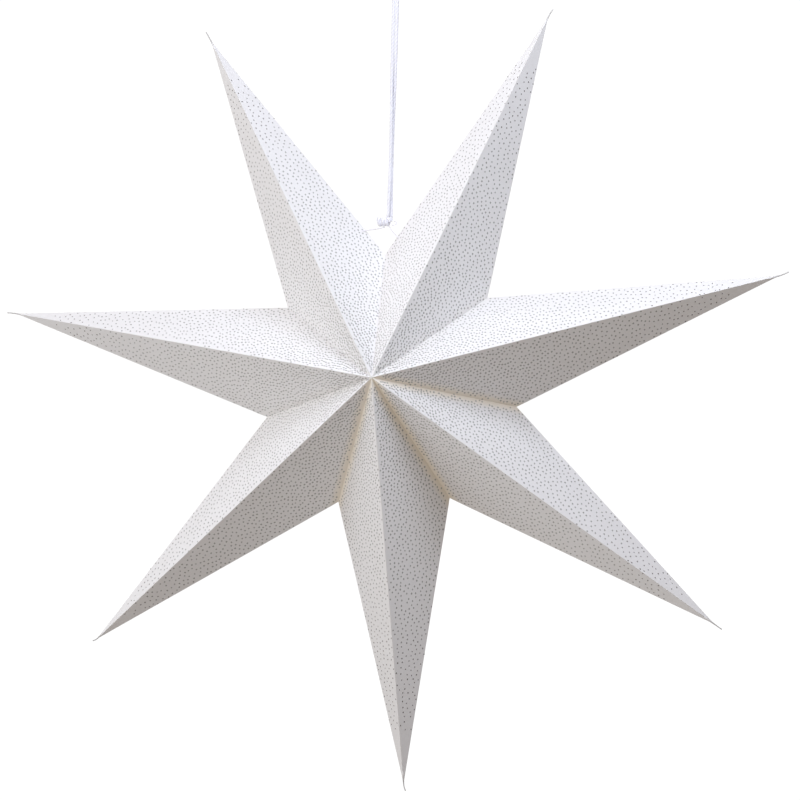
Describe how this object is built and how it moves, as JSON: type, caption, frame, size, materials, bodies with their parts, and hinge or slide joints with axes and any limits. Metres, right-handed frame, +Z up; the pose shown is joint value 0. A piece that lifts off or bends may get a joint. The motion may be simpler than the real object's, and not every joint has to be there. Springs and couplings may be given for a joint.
{
  "type": "hanging paper star",
  "caption": "Folding paper star pendant with a knotted string: long rays creased from one sheet each, meeting at a front and a back point.",
  "frame": {"origin": "point where the string's loop bears on its hook, above the star", "axes": "+Z up along the hanging string, star faces -Y, +X to the right of a viewer in front"},
  "size_m": [0.5997, 0.1673, 0.6402],
  "materials": {
    "card": "matt white card pricked with pin holes",
    "glued_strip": "matt white card",
    "string": "twisted pale string",
    "knot": "knotted pale string",
    "tie": "thin grey string"
  },
  "bodies": {
    "hanging_string": {"hanging_string": "string"},
    "ray_1_front_left": {"ray_1_front_left": "card", "knot": "knot", "right_tie": "tie"},
    "ray_1_front_right": {"ray_1_front_right": "card", "ray_1_closing_tab": "glued_strip"},
    "ray_1_back_left": {"ray_1_back_left": "card"},
    "ray_1_back_right": {"ray_1_back_right": "card"},
    "ray_2_front_left": {"ray_2_front_left": "card", "ray_1_front_glue_flap": "glued_strip"},
    "ray_2_front_right": {"ray_2_front_right": "card", "ray_2_closing_tab": "glued_strip"},
    "ray_2_back_left": {"ray_2_back_left": "card", "ray_1_back_glue_flap": "glued_strip"},
    "ray_2_back_right": {"ray_2_back_right": "card"},
    "ray_3_front_left": {"ray_3_front_left": "card", "ray_2_front_glue_flap": "glued_strip"},
    "ray_3_front_right": {"ray_3_front_right": "card", "ray_3_closing_tab": "glued_strip"},
    "ray_3_back_left": {"ray_3_back_left": "card", "ray_2_back_glue_flap": "glued_strip"},
    "ray_3_back_right": {"ray_3_back_right": "card"},
    "ray_4_front_left": {"ray_4_front_left": "card", "ray_3_front_glue_flap": "glued_strip"},
    "ray_4_front_right": {"ray_4_front_right": "card", "ray_4_closing_tab": "glued_strip"},
    "ray_4_back_left": {"ray_4_back_left": "card", "ray_3_back_glue_flap": "glued_strip"},
    "ray_4_back_right": {"ray_4_back_right": "card"},
    "ray_5_front_left": {"ray_5_front_left": "card", "ray_4_front_glue_flap": "glued_strip"},
    "ray_5_front_right": {"ray_5_front_right": "card", "ray_5_closing_tab": "glued_strip"},
    "ray_5_back_left": {"ray_5_back_left": "card", "ray_4_back_glue_flap": "glued_strip"},
    "ray_5_back_right": {"ray_5_back_right": "card"},
    "ray_6_front_left": {"ray_6_front_left": "card", "ray_5_front_glue_flap": "glued_strip"},
    "ray_6_front_right": {"ray_6_front_right": "card", "ray_6_closing_tab": "glued_strip"},
    "ray_6_back_left": {"ray_6_back_left": "card", "ray_5_back_glue_flap": "glued_strip"},
    "ray_6_back_right": {"ray_6_back_right": "card"},
    "ray_7_front_left": {"ray_7_front_left": "card", "ray_6_front_glue_flap": "glued_strip"},
    "ray_7_front_right": {"ray_7_front_right": "card", "ray_7_closing_tab": "glued_strip", "seam_front_hem": "glued_strip", "left_tie": "tie"},
    "ray_7_back_left": {"ray_7_back_left": "card", "ray_6_back_glue_flap": "glued_strip"},
    "ray_7_back_right": {"ray_7_back_right": "card", "seam_back_hem": "glued_strip"}
  },
  "joints": [
    {"name": "swivel", "type": "hinge", "parent": "hanging_string", "child": "ray_1_front_left", "pos_m": [0, 0, -0.2036], "axis": [0, 0, 1], "range_deg": [-180, 180]},
    {"name": "edge_1_left", "type": "hinge", "parent": "ray_1_front_left", "child": "ray_1_back_left", "pos_m": [-0.00265, 0, -0.23219], "axis": [0.5515, 0, 0.8342], "range_deg": [0, 65.48]},
    {"name": "fold", "type": "hinge", "parent": "ray_1_front_left", "child": "ray_1_front_right", "pos_m": [0.0035, -0.085, -0.33], "axis": [0.3622, 0.2726, 0.8913], "range_deg": [0, 68.4]},
    {"name": "edge_1_right", "type": "hinge", "parent": "ray_1_front_right", "child": "ray_1_back_right", "pos_m": [0.07613, 0, -0.26421], "axis": [-0.1867, 0, -0.9824], "range_deg": [0, 65.48]},
    {"name": "valley_1", "type": "hinge", "parent": "ray_1_front_right", "child": "ray_2_front_left", "pos_m": [0.0035, -0.085, -0.33], "axis": [-0.5599, -0.6552, -0.5072], "range_deg": [0, 91.3]},
    {"name": "edge_2_left", "type": "hinge", "parent": "ray_2_front_left", "child": "ray_2_back_left", "pos_m": [0.07613, 0, -0.26421], "axis": [0.996, 0, 0.0889], "range_deg": [0, 65.48]},
    {"name": "ridge_2", "type": "hinge", "parent": "ray_2_front_left", "child": "ray_2_front_right", "pos_m": [0.0035, -0.085, -0.33], "axis": [0.9227, 0.2726, 0.2726], "range_deg": [0, 68.4]},
    {"name": "edge_2_right", "type": "hinge", "parent": "ray_2_front_right", "child": "ray_2_back_right", "pos_m": [0.10022, 0, -0.34576], "axis": [-0.8845, 0, -0.4666], "range_deg": [0, 65.48]},
    {"name": "valley_2", "type": "hinge", "parent": "ray_2_front_right", "child": "ray_3_front_left", "pos_m": [0.0035, -0.085, -0.33], "axis": [-0.7456, -0.6552, 0.1215], "range_deg": [0, 91.3]},
    {"name": "edge_3_left", "type": "hinge", "parent": "ray_3_front_left", "child": "ray_3_back_left", "pos_m": [0.10022, 0, -0.34576], "axis": [0.6905, 0, -0.7233], "range_deg": [0, 65.48]},
    {"name": "ridge_3", "type": "hinge", "parent": "ray_3_front_left", "child": "ray_3_front_right", "pos_m": [0.0035, -0.085, -0.33], "axis": [0.7884, 0.2726, -0.5515], "range_deg": [0, 68.4]},
    {"name": "edge_3_right", "type": "hinge", "parent": "ray_3_front_right", "child": "ray_3_back_right", "pos_m": [0.05148, 0, -0.41545], "axis": [-0.9163, 0, 0.4006], "range_deg": [0, 65.48]},
    {"name": "valley_3", "type": "hinge", "parent": "ray_3_front_right", "child": "ray_4_front_left", "pos_m": [0.0035, -0.085, -0.33], "axis": [-0.3699, -0.6552, 0.6587], "range_deg": [0, 91.3]},
    {"name": "edge_4_left", "type": "hinge", "parent": "ray_4_front_left", "child": "ray_4_back_left", "pos_m": [0.05148, 0, -0.41545], "axis": [-0.135, 0, -0.9909], "range_deg": [0, 65.48]},
    {"name": "ridge_4", "type": "hinge", "parent": "ray_4_front_left", "child": "ray_4_front_right", "pos_m": [0.0035, -0.085, -0.33], "axis": [0.0604, 0.2726, -0.9602], "range_deg": [0, 68.4]},
    {"name": "edge_4_right", "type": "hinge", "parent": "ray_4_front_right", "child": "ray_4_back_right", "pos_m": [-0.03339, 0, -0.42079], "axis": [-0.2581, 0, 0.9661], "range_deg": [0, 65.48]},
    {"name": "valley_4", "type": "hinge", "parent": "ray_4_front_right", "child": "ray_5_front_left", "pos_m": [0.0035, -0.085, -0.33], "axis": [0.2844, -0.6552, 0.6999], "range_deg": [0, 91.3]},
    {"name": "edge_5_left", "type": "hinge", "parent": "ray_5_front_left", "child": "ray_5_back_left", "pos_m": [-0.03339, 0, -0.42079], "axis": [-0.8588, 0, -0.5123], "range_deg": [0, 65.48]},
    {"name": "ridge_5", "type": "hinge", "parent": "ray_5_front_left", "child": "ray_5_front_right", "pos_m": [0.0035, -0.085, -0.33], "axis": [-0.7131, 0.2726, -0.6459], "range_deg": [0, 68.4]},
    {"name": "edge_5_right", "type": "hinge", "parent": "ray_5_front_right", "child": "ray_5_back_right", "pos_m": [-0.09048, 0, -0.35776], "axis": [0.5944, 0, 0.8041], "range_deg": [0, 65.48]},
    {"name": "valley_5", "type": "hinge", "parent": "ray_5_front_right", "child": "ray_6_front_left", "pos_m": [0.0035, -0.085, -0.33], "axis": [0.7245, -0.6552, 0.214], "range_deg": [0, 91.3]},
    {"name": "edge_6_left", "type": "hinge", "parent": "ray_6_front_left", "child": "ray_6_back_left", "pos_m": [-0.09048, 0, -0.35776], "axis": [-0.936, 0, 0.3521], "range_deg": [0, 65.48]},
    {"name": "ridge_6", "type": "hinge", "parent": "ray_6_front_left", "child": "ray_6_front_right", "pos_m": [0.0035, -0.085, -0.33], "axis": [-0.9496, 0.2726, 0.1548], "range_deg": [0, 68.4]},
    {"name": "edge_6_right", "type": "hinge", "parent": "ray_6_front_right", "child": "ray_6_back_right", "pos_m": [-0.0768, 0, -0.27383], "axis": [0.9993, 0, 0.0366], "range_deg": [0, 65.48]},
    {"name": "valley_6", "type": "hinge", "parent": "ray_6_front_right", "child": "ray_7_front_left", "pos_m": [0.0035, -0.085, -0.33], "axis": [0.619, -0.6552, -0.433], "range_deg": [0, 91.3]},
    {"name": "edge_7_left", "type": "hinge", "parent": "ray_7_front_left", "child": "ray_7_back_left", "pos_m": [-0.0768, 0, -0.27383], "axis": [-0.3083, 0, 0.9513], "range_deg": [0, 65.48]},
    {"name": "ridge_7", "type": "hinge", "parent": "ray_7_front_left", "child": "ray_7_front_right", "pos_m": [0.0035, -0.085, -0.33], "axis": [-0.4711, 0.2726, 0.8389], "range_deg": [0, 68.4]},
    {"name": "edge_7_right", "type": "hinge", "parent": "ray_7_front_right", "child": "ray_7_back_right", "pos_m": [-0.00265, 0, -0.23219], "axis": [0.6517, 0, -0.7585], "range_deg": [0, 65.48]}
  ],
  "couplings": [
    {"joint": "edge_1_left", "follows": "fold", "ratio": 0.95733},
    {"joint": "edge_1_right", "follows": "fold", "ratio": 0.95733},
    {"joint": "valley_1", "follows": "fold", "ratio": 1.3349},
    {"joint": "edge_2_left", "follows": "fold", "ratio": 0.95733},
    {"joint": "ridge_2", "follows": "fold", "ratio": 1},
    {"joint": "edge_2_right", "follows": "fold", "ratio": 0.95733},
    {"joint": "valley_2", "follows": "fold", "ratio": 1.3349},
    {"joint": "edge_3_left", "follows": "fold", "ratio": 0.95733},
    {"joint": "ridge_3", "follows": "fold", "ratio": 1},
    {"joint": "edge_3_right", "follows": "fold", "ratio": 0.95733},
    {"joint": "valley_3", "follows": "fold", "ratio": 1.3349},
    {"joint": "edge_4_left", "follows": "fold", "ratio": 0.95733},
    {"joint": "ridge_4", "follows": "fold", "ratio": 1},
    {"joint": "edge_4_right", "follows": "fold", "ratio": 0.95733},
    {"joint": "valley_4", "follows": "fold", "ratio": 1.3349},
    {"joint": "edge_5_left", "follows": "fold", "ratio": 0.95733},
    {"joint": "ridge_5", "follows": "fold", "ratio": 1},
    {"joint": "edge_5_right", "follows": "fold", "ratio": 0.95733},
    {"joint": "valley_5", "follows": "fold", "ratio": 1.3349},
    {"joint": "edge_6_left", "follows": "fold", "ratio": 0.95733},
    {"joint": "ridge_6", "follows": "fold", "ratio": 1},
    {"joint": "edge_6_right", "follows": "fold", "ratio": 0.95733},
    {"joint": "valley_6", "follows": "fold", "ratio": 1.3349},
    {"joint": "edge_7_left", "follows": "fold", "ratio": 0.95733},
    {"joint": "ridge_7", "follows": "fold", "ratio": 1},
    {"joint": "edge_7_right", "follows": "fold", "ratio": 0.95733}
  ]
}
